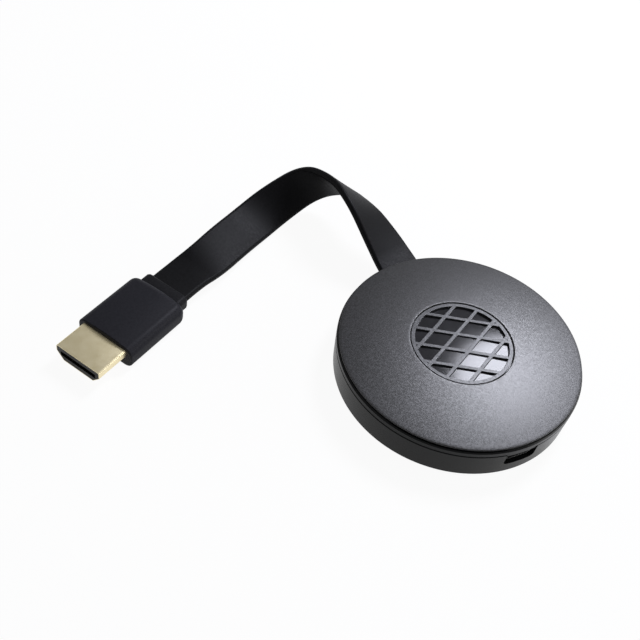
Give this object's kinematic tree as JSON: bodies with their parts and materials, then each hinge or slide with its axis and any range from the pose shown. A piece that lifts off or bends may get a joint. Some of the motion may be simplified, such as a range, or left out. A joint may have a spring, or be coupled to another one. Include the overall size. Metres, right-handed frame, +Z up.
{
  "type": "wireless display dongle",
  "caption": "Round puck-shaped wireless display receiver with a domed lid, a side power socket, a press button and a short flat cable that ends in a video plug.",
  "frame": {"origin": "middle of the round puck's underside, on the surface that it rests on", "axes": "+Z up through the domed lid, -Y out of the power socket, +Y along the flat cable as it leaves, +X out of the mode button"},
  "size_m": [0.1243, 0.1035, 0.0187],
  "materials": {
    "case_plastic": "satin moulded",
    "rim_plastic": "satin moulded",
    "cover_plastic": "fine spark-eroded grain",
    "inlay_gloss": "polished",
    "lattice_satin": "satin moulded",
    "board_laminate": "solder mask",
    "screw_steel": "zinc plated",
    "chip_resin": "moulded resin",
    "pad_silicone": "soft",
    "spreader_aluminium": "rolled sheet",
    "shield_tin": "tinned sheet",
    "aerial_ceramic": "fired",
    "coil_ferrite": "pressed ferrite",
    "capacitor_ceramic": "fired",
    "crystal_can": "pressed can",
    "socket_steel": "nickel plated",
    "tongue_plastic": "moulded",
    "contact_gold": "gold flashed",
    "switch_plastic": "moulded",
    "anchor_plastic": "moulded",
    "ribbon_jacket": "soft satin",
    "collar_plastic": "soft moulded",
    "plug_plastic": "satin moulded",
    "tip_plating": "pale gold plating on steel",
    "insulator_plastic": "moulded",
    "button_plastic": "satin moulded",
    "plunger_plastic": "moulded"
  },
  "bodies": {
    "housing": {"bottom_case": "case_plastic", "rim_ring": "rim_plastic", "top_cover": "cover_plastic", "inlay_plate": "inlay_gloss", "emblem_lattice": "lattice_satin", "circuit_board": "board_laminate", "board_screws": "screw_steel", "main_processor": "chip_resin", "thermal_pad": "pad_silicone", "heat_spreader": "spreader_aluminium", "memory_chips": "chip_resin", "flash_chip": "chip_resin", "radio_shield": "shield_tin", "chip_antenna": "aerial_ceramic", "power_inductors": "coil_ferrite", "bypass_capacitors": "capacitor_ceramic", "clock_crystal": "crystal_can", "socket_shell": "socket_steel", "socket_tongue": "tongue_plastic", "socket_contacts": "contact_gold", "tactile_switch": "switch_plastic", "cable_anchor": "anchor_plastic", "ribbon_cable": "ribbon_jacket", "cable_collar": "collar_plastic", "plug_body": "plug_plastic", "plug_shell": "tip_plating", "plug_insulator": "insulator_plastic", "plug_contacts": "contact_gold"},
    "button": {"mode_button": "button_plastic", "switch_plunger": "plunger_plastic"}
  },
  "joints": [
    {"name": "button_press", "type": "slide", "parent": "housing", "child": "button", "axis": [-1, 0, 0], "range_m": [0, 0.0003], "stiffness_N_per_m": 1500, "springref_m": -0.0003}
  ]
}
